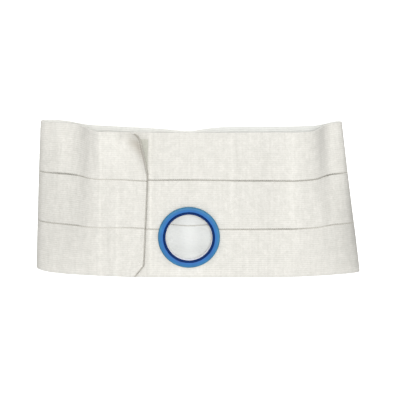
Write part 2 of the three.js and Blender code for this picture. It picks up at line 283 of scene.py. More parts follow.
# how open each seam is, 0 to 1, as (distance in mm, share), fitted to how dark it is in the photo
seamOpen = {
    1: [(0, 0.45), (26, 0.35), (50, 0.02), (79, 0.12), (95, 0.3), (112, 0.75), (137, 0.62), (168, 0.65),
        (230, 0.4), (330, 0.4), (500, 0.25), (620, 0.3), (690, 0.6), (725, 0.6), (745, 0.35), (772, 0.45),
        (803, 0.9), (834, 0.75), (865, 0.65), (896, 0.6), (940, 0.45), (1018, 0.5)],
    2: [(0, 0.45), (20, 0.43), (45, 0.36), (62, 0.2), (76, 0.12), (100, 0.5), (118, 0.76), (130, 1.05),
        (150, 1.0), (165, 0.7), (185, 0.6), (230, 0.5), (500, 0.5), (700, 0.6), (725, 0.98), (749, 0.8),
        (780, 0.76), (811, 0.78), (842, 0.95), (881, 0.84), (905, 0.68), (940, 0.66), (959, 0.82),
        (985, 0.86), (1000, 0.76), (1018, 0.6)],
}


def openness(seam, distance):
    # the seam's own row of the table, read round the loop
    table = np.array(seamOpen[seam])
    return np.interp(np.mod(distance, loopLength), table[:, 0], table[:, 1])


def gapAt(seam, distance):
    # shut + (pulled - shut) * openness
    shut, pulled = band["seamGap"]
    return shut + (pulled - shut) * openness(seam, distance)


ridgeAt = 890.0         # where the sharp fold beside the ring stands, along the cloth

# standing waves left in the cloth, in mm outwards: distance, height, reach along, reach up, amount
waves = [
    (ridgeAt, 190, 2.2, 60, 0.25), (ridgeAt, 110, 2.2, 45, 0.2),        # a sharp old fold beside the ring
    (796.0, 150, 8.0, 90, 1.2), (764.0, 150, 14.0, 95, -1.2),           # a rounded one near the right nose
    (49.6, 60, 2.2, 95, 0.3), (75.5, 110, 2.4, 150, 0.45),              # the layers under the flap show
    (87.0, 205, 5.0, 36, -1.0), (77.0, 205, 4.0, 40, 0.4),              # the turn into the left lobe
    (186.0, 114, 36.0, 200, 1.5), (692.0, 30, 26.0, 70, 1.0),           # the two noses, a little fuller
    (50.0, 225, 7.0, 9, -0.4), (146.0, 195, 3.0, 50, 0.5),
    (940.0, 30, 30.0, 26, 0.7), (985.0, 200, 26.0, 30, 0.5), (860.0, 195, 20.0, 30, -0.4),
    (850.0, 60, 26.0, 40, 0.6), (120.0, 40, 20.0, 36, 0.6),
    (330.0, 120, 40.0, 80, 0.9), (420.0, 60, 34.0, 60, -0.8), (610.0, 130, 40.0, 80, 0.8),
    (560.0, 40, 30.0, 40, -0.7),
]

# painted light (above 0) and painted shade (below 0): the narrow ones paint the light and shade of folds
# seen in the photo, the wide ones are fitted to its shading: distance, height, reach along, reach up, amount
paintedLightAndShade = [
    (ridgeAt, 165, 1.9, 80, 1.0), (ridgeAt - 10, 170, 8.0, 80, -0.35), (796.0, 160, 8.0, 110, 0.8),
    (764.0, 160, 15.0, 110, -0.5), (745.0, 208, 9.0, 24, -0.8), (840.0, 130, 20.0, 90, -0.5),
    (49.6, 60, 2.0, 95, 0.8), (75.5, 110, 2.2, 150, 0.9), (62.0, 60, 6.0, 90, -0.3),
    (88.0, 208, 6.0, 34, -1.0), (146.0, 195, 2.4, 40, 0.8), (1016.0, 114, 2.2, 160, 1.6),
    (55.0, 200, 26.0, 30, 0.9), (132.0, 66, 52.0, 76, -1.3), (712.0, 36, 36.0, 60, -1.5),
    (187.0, 114, 7.0, 160, -2.2), (691.0, 114, 8.0, 150, -2.1), (701.0, 40, 12.0, 60, -0.6),
    (166.0, 160, 22.0, 80, -1.1), (697.0, 90, 14.0, 80, -1.3), (690.0, 206, 4.0, 32, -2.0),
    (722.0, 196, 9.0, 44, 0.8), (956.0, 9, 44.0, 9, 1.2), (43.0, 224, 4.0, 7, -1.6),
    (38.0, 211, 3.0, 5, 0.9), (712.0, 105, 12.0, 50, -0.7), (696.0, 110, 6.0, 60, -0.9),
    (750.0, 105, 10.0, 44, 0.6),
]

# painted light on the back's inner side behind the ring, made the same way; fitted: the photo is paler there
# than these lamps make it
paintedLightInside = [(394.0, 56, 13.0, 34, 2.6), (465.0, 56, 9.0, 34, 2.4), (434.0, 19, 26.0, 12, 2.6)]

# painted tones, fitted to the photo: painted shade over the flap's curled corner, a painted contact shadow
# along the foot, and painted light over the rim inside
paintedTones = dict(
    cornerAlong=60.0, cornerDown=62.0, begins=2.0, full=34.0,       # a slanting line, and the way in from it
    lessShadeAtTop=(210.0, 224.0), lessShadeShare=0.8,
    paintedFootShade=1.5,
    rimLightOver=(200.0, 214.0), evenUpTo=420.0, lessFrom=500.0, lessShare=0.45,
    rimLightInside=0.6, rimLightAmount=2.4,
)


def relief(distance, height):
    return bumps(waves, distance, height)


def paintedCornerShade(distance, height):
    # painted shade over the flap's curled corner: more from a slanting line to the curled edge, less at the
    # very top
    line = paintedTones["cornerAlong"] * (1 - (beltHeight - height) / paintedTones["cornerDown"])
    lighterTop = paintedTones["lessShadeShare"] * smoothStep(*paintedTones["lessShadeAtTop"], height)
    return smoothStep(paintedTones["begins"], paintedTones["full"], line - distance) * (1 - lighterTop)


def paintedFootShade(height):
    # exp(-(height / width)^2), the width in the tones' table: a painted contact shadow, 1 at the belt's foot
    return np.exp(-(height / paintedTones["paintedFootShade"]) ** 2)


def paintedRimLight(distance, height):
    # painted light: the inside is paler over its highest 20 mm, most behind the flap; fitted to the photo
    less = paintedTones["lessShare"] * smoothStep(paintedTones["evenUpTo"], paintedTones["lessFrom"], distance)
    return smoothStep(*paintedTones["rimLightOver"], height) * (1 - less)


ringDistance = loopLength - belt["ringFromFlapEdge"]


def onePoint(distance, height):
    return clothPoint(np.array([distance]), np.array([height]), np.array([0.0]))[0]


ringCentre = onePoint(ringDistance, belt["ringHeight"])
ringUp = onePoint(ringDistance, belt["ringHeight"] + 1) - ringCentre
ringAlong = onePoint(ringDistance + 1, belt["ringHeight"]) - ringCentre
ringOut = np.cross(ringUp, ringAlong)
ringOut /= np.linalg.norm(ringOut)


def fromRing(distance, height):
    # the arrow from the ring's centre to each point in mid cloth, and its length, which is set to a huge one
    # for cloth too far along the belt to reach the ring
    arrow = clothPoint(distance, height, 0 * height) - ringCentre
    near = np.abs(distance - ringDistance) < band["ringReach"]
    return arrow, np.where(near, np.linalg.norm(arrow, axis=-1), 1e6)


def columnPlaces(end):
    # fine cuts at both ends, fine steps over the flap and coarse ones on from there
    cuts = band["edgeCuts"]
    fine = np.concatenate([cuts[:-1], np.arange(cuts[-1], band["fineReach"], band["fineStep"])])
    count = int(np.ceil((end - band["fineReach"]) / band["coarseStep"]))
    coarse = np.linspace(band["fineReach"], end - cuts[-1], count)
    return np.concatenate([fine, coarse, end - cuts[-2::-1]])


def rowShares(width):
    # the same fine cuts at both selvages and even steps between, as shares of the width
    edge = band["edgeCuts"] / width
    count = int(np.ceil((width - 2 * band["edgeCuts"][-1]) / band["rowStep"])) + 1
    return np.concatenate([edge[:-1], np.linspace(edge[-1], 1 - edge[-1], count), 1 - edge[-2::-1]])


def makeBand(number, name):
    # a sheet between two seams: wall + (relief +- half a thickness) outwards, with the ring's hole cut out
    end = loopLength + belt["overlap"]
    distances = columnPlaces(end)[:, None]
    shares = rowShares(belt["bandWidth"])[None, :]
    gaps = [gapAt(seam, distances) / 2 if seam in seamOpen else 0 * distances
            for seam in (number, number + 1)]
    low = number * belt["bandWidth"] + gaps[0]
    high = (number + 1) * belt["bandWidth"] - gaps[1]
    height = low + (high - low) * shares
    along = distances + 0 * height
    distance = alongFlap(along, height)
    # half a thickness, rounded off towards the nearest edge as a quarter circle
    edge = np.minimum(np.minimum(height - low, high - height), np.minimum(along, end - along))
    rounded = 1 - np.clip(edge / band["roundedOver"], 0, 1)
    half = np.maximum(band["thinnest"], belt["thickness"] / 2 * np.sqrt(1 - rounded ** 2))
    lift = relief(distance, height)
    # the hole: cells inside the radius go, and the points left on the border move onto the circle
    arrow, radius = fromRing(distance, height)
    centre = (radius[:-1, :-1] + radius[1:, :-1] + radius[:-1, 1:] + radius[1:, 1:]) / 4
    keep = centre > band["holeRadius"]
    solid = np.pad(keep, 1, constant_values=True)
    touching = np.stack([solid[:-1, :-1], solid[1:, :-1], solid[:-1, 1:], solid[1:, 1:]])
    border = touching.any(0) & ~touching.all(0)
    outer = beltPoint(distance, height, lift + half)
    inner = beltPoint(distance, height, lift - half)
    pull = (arrow * (band["holeRadius"] / radius - 1)[..., None])[border]
    outer[border] += pull
    inner[border] += pull
    points, faces = closedSheet(outer, inner, keep)
    uv = np.stack([distance, height], -1).reshape(-1, 2) / 1000
    # painted light and shade from the marks, less a painted contact shadow at the foot; the inner face also
    # gets painted light behind the ring and over the rim, and both faces painted shade over the flap's curled
    # corner
    paintedMarks = bumps(paintedLightAndShade, distance, height) - paintedFootShade(height)
    rimLight = paintedRimLight(distance, height)
    inside = np.concatenate([0 * rimLight.ravel(), 1 - paintedTones["rimLightInside"] * rimLight.ravel()])
    paintedPaler = bumps(paintedLightInside, distance, height) + paintedTones["rimLightAmount"] * rimLight
    paintedLightShade = np.concatenate([paintedMarks.ravel(), (paintedMarks + paintedPaler).ravel()])
    cornerShade = np.tile(paintedCornerShade(distance, height).ravel(), 2)
    points, faces, uv, inside, paintedLightShade, cornerShade = dropUnused(points, faces, np.concatenate([uv, uv]),
                                                          inside, paintedLightShade, cornerShade)
    return buildMesh(name, points, faces, uv, {"inside": inside, "paintedLightShade": paintedLightShade, "cornerShade": cornerShade})


bandNames = ["cloth_lower", "cloth_middle", "cloth_upper"]
bandPieces = [makeBand(number, name) for number, name in enumerate(bandNames)]
print("bands made")

# threads that lie at the bottom of the seams
seamCore = dict(halfWidth=1.6, halfThickness=0.28, fineStep=1.0, step=2.0, endMargin=1.5)


def makeSeamCore(seam):
    # the overlocked threads at the bottom of the groove: a flat ribbon along the seam, in mid cloth
    end = loopLength + belt["overlap"] - seamCore["endMargin"]
    fine = np.arange(seamCore["endMargin"], band["fineReach"], seamCore["fineStep"])
    distances = np.concatenate([fine, np.arange(band["fineReach"], end, seamCore["step"]), [end]])[:, None]
    across = np.array([-1, -0.6, 0, 0.6, 1]) * seamCore["halfWidth"]
    height = seam * belt["bandWidth"] + across[None, :] + 0 * distances
    distance = alongFlap(distances, height)
    crown = np.sqrt(1.02 - (across / seamCore["halfWidth"]) ** 2)       # the .02 leaves the edges a thickness
    half = seamCore["halfThickness"] * crown[None, :] + 0 * height
    lift = relief(distance, height)
    radius = fromRing(distance, height)[1]
    keep = (radius[:-1, :-1] > band["holeRadius"]) & (radius[1:, :-1] > band["holeRadius"])
    keep &= keep.all(1)[:, None]
    points, faces = closedSheet(beltPoint(distance, height, lift + half),
                                beltPoint(distance, height, lift - half), keep)
    uv = np.stack([distance, height], -1).reshape(-1, 2) / 1000
    opened = openness(seam, distance).ravel()
    points, faces, uv, opened = dropUnused(points, faces, np.concatenate([uv, uv]), np.tile(opened, 2))
    return buildMesh(f"seam_core_{seam}", points, faces, uv, {"opened": opened})


seamCores = [makeSeamCore(1), makeSeamCore(2)]
print("seams made")


def tubesAlong(paths, radius, sides=6):
    # a circle swept along each path: point + radius * (side * cos + up * sin), with a flat cap of quads at
    # both ends, so the number of sides is even
    run = np.gradient(paths, axis=1)
    run /= np.linalg.norm(run, axis=2, keepdims=True)
    side = np.cross(run, [0.0, 0.0, 1.0])
    steep = np.linalg.norm(side, axis=2) < 0.3      # too upright to take a side from
    side[steep] = np.cross(run[steep], [0.0, 1.0, 0.0])
    side /= np.linalg.norm(side, axis=2, keepdims=True)
    up = np.cross(side, run)
    turn = np.arange(sides) * 2 * math.pi / sides
    circle = side[:, :, None] * np.cos(turn)[:, None] + up[:, :, None] * np.sin(turn)[:, None]
    points = paths[:, :, None] + radius * circle
    index = np.arange(points[..., 0].size).reshape(points.shape[:3])
    around = np.roll(index, -1, axis=2)
    walls = np.stack([index[:, :-1], index[:, 1:], around[:, 1:], around[:, :-1]], -1).reshape(-1, 4)
    caps = [ring[:, [0, k, k + 1, k + 2]] for ring in (index[:, 0], index[:, -1, ::-1])
            for k in range(1, sides - 2, 2)]
    return points.reshape(-1, 3), np.concatenate([walls] + caps)


def joinParts(name, parts):
    # several (points, faces) pairs as one object, each part's faces counted on from the points before it
    points, faces, total = [], [], 0
    for p, f in parts:
        points.append(p)
        faces.append(f + total)
        total += len(p)
    return buildMesh(name, np.concatenate(points), np.concatenate(faces))


# the zigzag thread that joins each pair of bands, on both faces
zigzag = dict(pitch=3.2, halfWidth=2.3, threadRadius=0.17, standsProud=0.06, sag=0.55, samples=8,
              endMargin=3.0, ringClear=49.2)


def makeZigzag(seam, faceSign):
    # one thread over the seam: height swings as a triangle wave of the distance, on the cloth's face
    end = loopLength + belt["overlap"] - zigzag["endMargin"]
    steps = np.arange(zigzag["endMargin"], end, zigzag["pitch"] / zigzag["samples"])
    swing = 2 * np.abs(2 * ((steps / zigzag["pitch"]) % 1) - 1) - 1
    height = seam * belt["bandWidth"] + zigzag["halfWidth"] * swing
    distance = alongFlap(steps, height)
    dip = zigzag["sag"] * (1 - np.abs(swing)) ** 2 * openness(seam, distance)       # into the groove
    offset = relief(distance, height) + faceSign * (belt["thickness"] / 2 + zigzag["standsProud"] - dip)
    path = beltPoint(distance, height, offset)
    clear = fromRing(distance, height)[1] >= zigzag["ringClear"]
    breaks = np.flatnonzero(np.diff(clear.astype(int))) + 1
    return [tubesAlong(piece[None], zigzag["threadRadius"], 4)
            for piece, ok in zip(np.split(path, breaks), np.split(clear, breaks)) if ok[0] and len(piece) > 4]


seamThreads = [joinParts(f"zigzag_{seam}", makeZigzag(seam, 1) + makeZigzag(seam, -1)) for seam in (1, 2)]
print("zigzag sewn")

# the flap's free edge is bound with overlock thread, and so is the end that lies under it
overlock = dict(pitch=1.5, reach=1.4, proud=0.85, throughShare=0.7, threadRadius=0.32, squareness=0.45,
                samples=18, edgeSamples=800, endMargin=1.2)


def softSquare(wave):
    # sign(wave) * |wave| ^ squareness: a circle pushed out towards a box
    return np.sign(wave) * np.abs(wave) ** overlock["squareness"]


def makeOverlock(name, edgeAt, inwards):
    # a thread wound round the edge of the cloth: in from the edge by a cosine, through it by a sine
    fine = np.linspace(overlock["endMargin"], beltHeight - overlock["endMargin"], overlock["edgeSamples"])
    steps = np.hypot(np.diff(fine), np.diff(edgeAt(fine)))
    reached = np.concatenate([[0], np.cumsum(steps)])
    length = np.arange(0, reached[-1], overlock["pitch"] / overlock["samples"])
    height = np.interp(length, reached, fine)
    turn = 2 * math.pi * length / overlock["pitch"]
    half = (overlock["reach"] + overlock["proud"]) / 2
    fromEdge = half - overlock["proud"] - half * softSquare(np.cos(turn))
    depth = belt["thickness"] / 2 + overlock["proud"] * overlock["throughShare"]
    through = depth * softSquare(np.sin(turn))
    distance = edgeAt(height) + inwards * fromEdge
    path = beltPoint(distance, height, relief(distance, height) + through)
    return joinParts(name, [tubesAlong(path[None], overlock["threadRadius"])])


def innerEndAt(height):
    # the inner end is cut straight
    return loopLength + belt["overlap"] + 0 * height


flapBinding = makeOverlock("flap_edge_overlock", freeEdgeAt, 1)
endBinding = makeOverlock("inner_end_overlock", innerEndAt, -1)

# rows of lockstitch that hold the hook strip to the flap; each stitch is a thread that dips at its ends
lockstitch = dict(stitch=3.0, gap=0.7, threadRadius=0.19, crown=0.16, sink=0.22, samples=7, endMargin=6.0,
                  seamClear=2.4, rows=[5.0, 8.0, 49.0, 58.5])


def makeStitchRow(fromEdge):
    # stitches evenly spaced up the flap, each standing proud by crown - (crown + sink) * t^4, t from -1 to 1
    rowLength = beltHeight - 2 * lockstitch["endMargin"]
    count = int(rowLength / (lockstitch["stitch"] + lockstitch["gap"]))
    middles = lockstitch["endMargin"] + (np.arange(count) + 0.5) * rowLength / count
    t = np.linspace(-1, 1, lockstitch["samples"])
    height = middles[:, None] + t[None, :] * lockstitch["stitch"] / 2
    nearSeam = np.minimum(np.abs(height - belt["bandWidth"]), np.abs(height - 2 * belt["bandWidth"])).min(1)
    height = height[nearSeam > lockstitch["seamClear"]]             # none across the open seams
    distance = alongFlap(fromEdge + 0 * height, height)
    rise = lockstitch["crown"] - (lockstitch["crown"] + lockstitch["sink"]) * t[None, :] ** 4
    offset = relief(distance, height) + belt["thickness"] / 2 + rise
    return tubesAlong(beltPoint(distance, height, offset), lockstitch["threadRadius"])


topStitching = joinParts("flap_topstitching", [makeStitchRow(fromEdge) for fromEdge in lockstitch["rows"]])
print("edges bound and flap stitched")

# the hook strip under the flap
hook = dict(thickness=1.4, width=62.0, inset=0.6, topInset=10.5, bottomInset=8.0, gap=0.3, step=2.0,
            columns=30, roundedOver=0.7, roundedShare=0.95)


def makeHookStrip():
    # a flat strip between the flap and the wall, following the flap's edge: offset gap .. gap + thickness
    near = belt["thickness"] / 2 + hook["gap"]
    low, high = hook["bottomInset"], beltHeight - hook["topInset"]
    heights = np.concatenate([[low], np.arange(low + 0.5, high - 0.5, hook["step"]), [high]])[None, :]
    start = np.where(heights < beltHeight / 2, freeEdgeAt(heights), leanAt(heights)) + hook["inset"]
    shares = np.concatenate([[0, 0.008], np.linspace(0.02, 0.98, hook["columns"]), [0.992, 1]])[:, None]
    distance = start + (hook["width"] - start) * shares
    height = heights + 0 * distance
    keep = np.ones((distance.shape[0] - 1, distance.shape[1] - 1), bool)
    edge = np.minimum(np.minimum(height - low, high - height),
                      (hook["width"] - start) * np.minimum(shares, 1 - shares))
    rounded = (1 - np.clip(edge / hook["roundedOver"], 0, 1)) ** 2 * hook["roundedShare"]
    half = hook["thickness"] / 2 * np.sqrt(1 - rounded)
    middle = near + hook["thickness"] / 2
    points, faces = closedSheet(clothPoint(distance, height, middle + half),
                                clothPoint(distance, height, middle - half), keep)
    uv = np.stack([distance, height], -1).reshape(-1, 2) / 1000
    return buildMesh("hook_tape", points, faces, np.concatenate([uv, uv]))


hookPiece = makeHookStrip()
print("hook strip made")

# the two mouldings of the ring
ring = dict(
    openingRadius=36.0, sleeveRadius=39.5, flangeRadius=48.1, flangeHeight=4.7, sleeveProud=1.2,
    lipRadius=44.5, lipThickness=2.2, gap=0.3, sides=160,
    bevelAcross=2.4, bevelDown=0.6,     # the flange's face falls away to its rim
    rimFlat=1.0, rimDepth=3.4,          # the sleeve's rim flares in to the bore
    flangeRounding=[0.3, 0.9, 1.2, 1.6, 1.2], sleeveRounding=[0.5, 0.7, 0.7, 0.4, 1.1, 0.8, 1.0],
)


def roundedProfile(corners, radii, cuts=5):
    # each corner of a closed outline becomes (1-t)^2 start + 2t(1-t) corner + t^2 end, in cuts + 1 points
    rounded = []
    count = len(corners)
    for k in range(count):
        before, here, after = (np.array(corners[(k + step) % count], float) for step in (-1, 0, 1))
        reach = radii[k]
        start = here + (before - here) / np.linalg.norm(before - here) * reach
        end = here + (after - here) / np.linalg.norm(after - here) * reach
        t = np.linspace(0, 1, cuts + 1)[:, None]
        rounded.append((1 - t) ** 2 * start + 2 * t * (1 - t) * here + t ** 2 * end)
    return np.concatenate(rounded)


def turned(name, profile):
    # closed outline (radius, out) carried round the ring's axis:
    # centre + out * axis + radius * (side * cos + up * sin)
    angle = np.arange(ring["sides"]) * 2 * math.pi / ring["sides"]
    side = np.cross(ringOut, [0.0, 0.0, 1.0])
    side /= np.linalg.norm(side)
    up = np.cross(side, ringOut)
    spoke = side[None, :] * np.cos(angle)[:, None] + up[None, :] * np.sin(angle)[:, None]
    points = ringCentre + profile[None, :, 1:2] * ringOut + profile[None, :, 0:1] * spoke[:, None, :]
    index = np.arange(ring["sides"] * len(profile)).reshape(ring["sides"], len(profile))
    nextSpoke, nextPoint = np.roll(index, -1, 0), np.roll(index, -1, 1)
    faces = np.stack([index, nextPoint, np.roll(nextSpoke, -1, 1), nextSpoke], -1).reshape(-1, 4)
    radius = np.tile(profile[:, 0], ring["sides"])
    out = np.tile(profile[:, 1], ring["sides"])
    return buildMesh(name, points.reshape(-1, 3), faces, None, {"fromAxis": radius, "fromCloth": out})


back = belt["thickness"] / 2 + ring["gap"]
front = back + ring["flangeHeight"]
bore = ring["sleeveRadius"] + ring["gap"]
flangeProfile = roundedProfile(
    [(bore, back), (ring["flangeRadius"], back), (ring["flangeRadius"], front - ring["bevelDown"]),
     (ring["flangeRadius"] - ring["bevelAcross"], front), (bore, front)],
    ring["flangeRounding"])
lipFront = -back
lipBack = lipFront - ring["lipThickness"]
rimFront = front + ring["sleeveProud"]
sleeveProfile = roundedProfile(
    [(ring["openingRadius"], lipBack), (ring["lipRadius"], lipBack), (ring["lipRadius"], lipFront),
     (ring["sleeveRadius"], lipFront), (ring["sleeveRadius"], rimFront),
     (ring["openingRadius"] + ring["rimFlat"], rimFront),
     (ring["openingRadius"], rimFront - ring["rimDepth"])],
    ring["sleeveRounding"])
flangePiece = turned("flange_moulding", flangeProfile)
sleevePiece = turned("sleeve_moulding", sleeveProfile)
print("ring made")


def srgb(code):
    # sRGB hex to linear: c / 12.92 up to 0.04045, and ((c + 0.055) / 1.055) ^ 2.4 above it
    channels = [int(code[k:k + 2], 16) / 255 for k in (1, 3, 5)]
    return (*[c / 12.92 if c <= 0.04045 else ((c + 0.055) / 1.055) ** 2.4 for c in channels], 1.0)


def add(tree, kind, values=None, links=None, **settings):
    # one node, with its sockets' values, what is linked into them and its own settings; a node that is linked
    # from as a whole stands for its first output
    node = tree.nodes.new(kind)
    for name, value in settings.items():
        setattr(node, name, value)
    for socket, value in (values or {}).items():
        node.inputs[socket].default_value = value
    for socket, source in (links or {}).items():
        tree.links.new(getattr(source, "outputs", [source])[0], node.inputs[socket])
    return node


def newMaterial(name, paint):
    # paint adds the nodes and gives back the shader, which goes to the output
    material = bpy.data.materials.new(name)
    material.use_nodes = True
    tree = material.node_tree
    tree.nodes.clear()
    add(tree, "ShaderNodeOutputMaterial", None, {"Surface": paint(tree)})
    return material


# Woven elastic webbing, cotton over rubber threads: matt, off-white, with fine level ribs, a soft mottle
# where the yarn takes the light unevenly and upright streaks from the weft. A greyer, browner tone over the
# flap's curled corner is painted shade, and so is the darkening in the weave's hollows; the per-point marks
# paint light and shade. The real ribs are about 1 mm apart, too fine for this picture, so they are drawn 3.1
# mm apart.
webbing = dict(
    light="#dad8d2", dark="#b5b3ac", mottle="#cbcac4", cornerShadeTone="#aaa192", inside="#dbdddb",
    ribPitch=3.1, yarnPitch=2.3, ribDepth=0.2,          # mm
    mottleSize=11.0, fineSize=3.4, streakWidth=5.0, streakLength=40.0,
    mottleShare=0.75, weaveShare=0.24, speckShare=0.34, streakShare=0.2, paintedLightShadeShare=0.075, cornerShadeShare=0.6,
    insideShare=0.8, roughness=0.88, sheen=0.1,
)


def wovenElasticWebbing(tree):
    uv = add(tree, "ShaderNodeUVMap", uv_map="cloth")
    wavePitch = 2 * math.pi / 20 * 1000         # a wave texture repeats every 2 pi / (20 * scale)
    ribs = add(tree, "ShaderNodeTexWave",
               {"Scale": wavePitch / webbing["ribPitch"], "Distortion": 0.5, "Detail": 1.0,
                "Detail Scale": 0.6},
               {"Vector": uv}, wave_type="BANDS", bands_direction="Y", wave_profile="SIN")
    yarns = add(tree, "ShaderNodeTexWave",
                {"Scale": wavePitch / webbing["yarnPitch"], "Distortion": 0.8, "Detail": 1.0,
                 "Detail Scale": 0.8},
                {"Vector": uv}, wave_type="BANDS", bands_direction="X", wave_profile="SIN")
    weave = add(tree, "ShaderNodeMath", None,
                {0: ribs.outputs["Fac"], 1: yarns.outputs["Fac"], 2: ribs.outputs["Fac"]},
                operation="MULTIPLY_ADD")

    wide = add(tree, "ShaderNodeTexNoise",
               {"Scale": 1000 / webbing["mottleSize"], "Detail": 3.0, "Roughness": 0.6}, {"Vector": uv})
    spread = add(tree, "ShaderNodeMapRange",
                 {"From Min": 0.34, "From Max": 0.68, "To Max": webbing["mottleShare"]}, {"Value": wide})
    ground = add(tree, "ShaderNodeMix", {6: srgb(webbing["light"]), 7: srgb(webbing["mottle"])},
                 {"Factor": spread}, data_type="RGBA")

    drawn = add(tree, "ShaderNodeMapping",
                {"Scale": (1, webbing["streakWidth"] / webbing["streakLength"], 1)}, {"Vector": uv})
    streaks = add(tree, "ShaderNodeTexNoise", {"Scale": 1000 / webbing["streakWidth"], "Detail": 2.0},
                  {"Vector": drawn})
    streakTone = add(tree, "ShaderNodeMapRange",
                     {"From Min": 0.4, "From Max": 0.75, "To Max": webbing["streakShare"]},
                     {"Value": streaks})
    fine = add(tree, "ShaderNodeTexNoise",
               {"Scale": 1000 / webbing["fineSize"], "Detail": 2.0, "Roughness": 0.7}, {"Vector": uv})
    speck = add(tree, "ShaderNodeMapRange",
                {"From Min": 0.35, "From Max": 0.75, "To Max": webbing["speckShare"]}, {"Value": fine})
    # painted shade: the weave's hollows are darker
    paintedHollowShade = add(tree, "ShaderNodeMapRange",
                  {"From Min": 0.2, "From Max": 1.6, "To Min": webbing["weaveShare"], "To Max": 0.0},
                  {"Value": weave})
    grain = add(tree, "ShaderNodeMath", None, {0: paintedHollowShade, 1: speck}, operation="ADD")
    darker = add(tree, "ShaderNodeMath", None, {0: grain, 1: streakTone}, operation="ADD", use_clamp=True)
    woven = add(tree, "ShaderNodeMix", {7: srgb(webbing["dark"])},
                {"Factor": darker, 6: ground.outputs[2]}, data_type="RGBA")

    # painted shade over the flap's curled corner, in a greyer, browner tone
    cornerShade = add(tree, "ShaderNodeAttribute", attribute_name="cornerShade")
    cornerShading = add(tree, "ShaderNodeMath", {1: webbing["cornerShadeShare"]}, {0: cornerShade.outputs["Fac"]},
               operation="MULTIPLY")
    cornerShadeTone = add(tree, "ShaderNodeMix", {7: srgb(webbing["cornerShadeTone"])},
                 {"Factor": cornerShading, 6: woven.outputs[2]}, data_type="RGBA")
    inner = add(tree, "ShaderNodeAttribute", attribute_name="inside")
    brushed = add(tree, "ShaderNodeMath", {1: webbing["insideShare"]}, {0: inner.outputs["Fac"]},
                  operation="MULTIPLY")
    faced = add(tree, "ShaderNodeMix", {7: srgb(webbing["inside"])},
                {"Factor": brushed, 6: cornerShadeTone.outputs[2]}, data_type="RGBA")
    # painted light and shade from the cloth's marks, as a factor on its colour
    paintedLightShade = add(tree, "ShaderNodeAttribute", attribute_name="paintedLightShade")
    light = add(tree, "ShaderNodeMath", {1: webbing["paintedLightShadeShare"], 2: 1.0}, {0: paintedLightShade.outputs["Fac"]},
                operation="MULTIPLY_ADD")
    colour = add(tree, "ShaderNodeVectorMath", None, {0: faced.outputs[2], "Scale": light}, operation="SCALE")
    bump = add(tree, "ShaderNodeBump", {"Strength": 0.7, "Distance": webbing["ribDepth"] / 1000},
               {"Height": weave})
    return add(tree, "ShaderNodeBsdfPrincipled",
               {"Roughness": webbing["roughness"], "Sheen Weight": webbing["sheen"],
                "Sheen Roughness": 0.5, "Specular IOR Level": 0.25},
               {"Base Color": colour, "Normal": bump})


# Overlocked seam: grey-beige threads down in a groove; where the seam is pulled open they are darker, a
# painted shade of the deeper groove.
seamLook = dict(shut="#c3c0b7", pulled="#86847d", roughness=0.95)


def overlockedSeam(tree):
    opened = add(tree, "ShaderNodeAttribute", attribute_name="opened")
    cloth = add(tree, "ShaderNodeUVMap", uv_map="cloth")
    loops = add(tree, "ShaderNodeTexNoise", {"Scale": 500.0, "Detail": 2.0}, {"Vector": cloth})
    # darker towards the pulled tone where the seam is open: painted shade
    mixed = add(tree, "ShaderNodeMix", {6: srgb(seamLook["shut"]), 7: srgb(seamLook["pulled"])},
                {"Factor": opened.outputs["Fac"]}, data_type="RGBA")
    bump = add(tree, "ShaderNodeBump", {"Strength": 0.7, "Distance": 0.0003}, {"Height": loops})
    return add(tree, "ShaderNodeBsdfPrincipled",
               {"Roughness": seamLook["roughness"], "Specular IOR Level": 0.2},
               {"Base Color": mixed.outputs[2], "Normal": bump})


# Polyester sewing thread: matt with a soft shine, and its twist shows as light and dark along it. The seams
# and rows are off-white; the binding of the two ends is grey-brown, a tone that is partly painted shade of
# the crevice along the flap's edge.
threadLook = dict(seams=("#cfcdc6", "#e6e4de"), binding=("#97938a", "#bab6ac"), roughness=0.6)


def sewingThread(tree, use="seams"):
    place = add(tree, "ShaderNodeTexCoord")
    twist = add(tree, "ShaderNodeTexNoise", {"Scale": 900.0, "Detail": 1.0},
                {"Vector": place.outputs["Object"]})
    tone = add(tree, "ShaderNodeValToRGB", None, {"Fac": twist})
    for stop, position, code in zip(tone.color_ramp.elements, (0.35, 0.65), threadLook[use]):
        stop.position, stop.color = position, srgb(code)
    return add(tree, "ShaderNodeBsdfPrincipled", {"Roughness": threadLook["roughness"]},
               {"Base Color": tone})


def bindingThread(tree):
    return sewingThread(tree, "binding")


# Moulded nylon hook tape: grey-white, matt from its rows of tiny hooks, which are drawn 1.8 mm apart, with
# painted shade between them.
hookLook = dict(tips="#c8c8be", between="#a4a399", pitch=1.8, roughness=0.8)


def hookTape(tree):
    cloth = add(tree, "ShaderNodeUVMap", uv_map="cloth")
    rows = add(tree, "ShaderNodeTexVoronoi", {"Scale": 1000 / hookLook["pitch"], "Randomness": 0.25},
               {"Vector": cloth})
    tone = add(tree, "ShaderNodeValToRGB", None, {"Fac": rows})
    for stop, position, code in zip(tone.color_ramp.elements, (0.1, 0.7), ("tips", "between")):
        stop.position, stop.color = position, srgb(hookLook[code])
    bump = add(tree, "ShaderNodeBump", {"Strength": 0.8, "Distance": 0.0005}, {"Height": rows}, invert=True)
    return add(tree, "ShaderNodeBsdfPrincipled", {"Roughness": hookLook["roughness"]},
               {"Base Color": tone, "Normal": bump})


# Injection-moulded vinyl: mid blue with a low, broad gloss, navy where it meets the sleeve as painted shade
# between the two mouldings, and greyer towards the outer rim; the moulding leaves the tones a little uneven,
# in patches about 15 mm wide.
blueVinylLook = dict(
    face="#21649c", rim="#357496", inner="#2361a6", shaded="#0f3a80", roughness=0.48, gloss=0.28,
    shadedAt=39.8, rimAt=48.1,          # mm from the ring's axis
    patchSize=15.0, wander=3.0, brightest=1.12, darkest=0.9,
)


